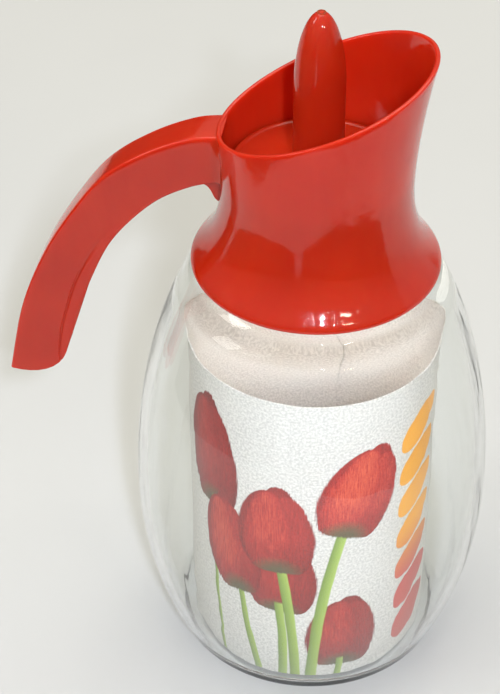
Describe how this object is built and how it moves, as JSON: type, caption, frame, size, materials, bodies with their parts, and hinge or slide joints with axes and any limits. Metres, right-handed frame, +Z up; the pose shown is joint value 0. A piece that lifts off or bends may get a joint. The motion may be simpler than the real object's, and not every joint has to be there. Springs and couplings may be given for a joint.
{
  "type": "lidded glass jug",
  "caption": "Egg-shaped clear glass jug with a screwed-on slanted pouring collar, an open-ended cantilever handle, a lift-out knob stopper and a rolled paper insert.",
  "frame": {"origin": "centre of the glass base, on the surface that the jug stands on", "axes": "+Z up along the glass axis, +X towards the spout, -X towards the handle"},
  "size_m": [0.1711, 0.1258, 0.257],
  "materials": {
    "clear_glass": "clear, polished, faintly uneven inside",
    "red_plastic": "glossy injection-moulded, slightly translucent at thin edges",
    "silicone": "matt, translucent white",
    "soft_plug": "satin, milky",
    "printed_paper": "matt coated paper, printed flowers outside, plain inside"
  },
  "bodies": {
    "jug": {"glass_body": "clear_glass", "paper_insert": "printed_paper"},
    "neck_seal": {"neck_gasket": "silicone"},
    "collar": {"pouring_collar": "red_plastic"},
    "stopper": {"stopper_lid": "red_plastic", "stopper_plug": "soft_plug", "plug_seal": "silicone"}
  },
  "joints": [
    {"name": "collar_rise", "type": "slide", "parent": "jug", "child": "neck_seal", "axis": [0, 0, 1], "range_m": [0, 0.0091]},
    {"name": "collar_turn", "type": "hinge", "parent": "neck_seal", "child": "collar", "pos_m": [0, 0, 0.178], "axis": [0, 0, 1], "range_deg": [0, 540]},
    {"name": "stopper_lift", "type": "slide", "parent": "collar", "child": "stopper", "axis": [0, 0, 1], "range_m": [0, 0.07]}
  ],
  "couplings": [
    {"joint": "collar_rise", "follows": "collar_turn", "m_per_rad": 0.00095493}
  ]
}
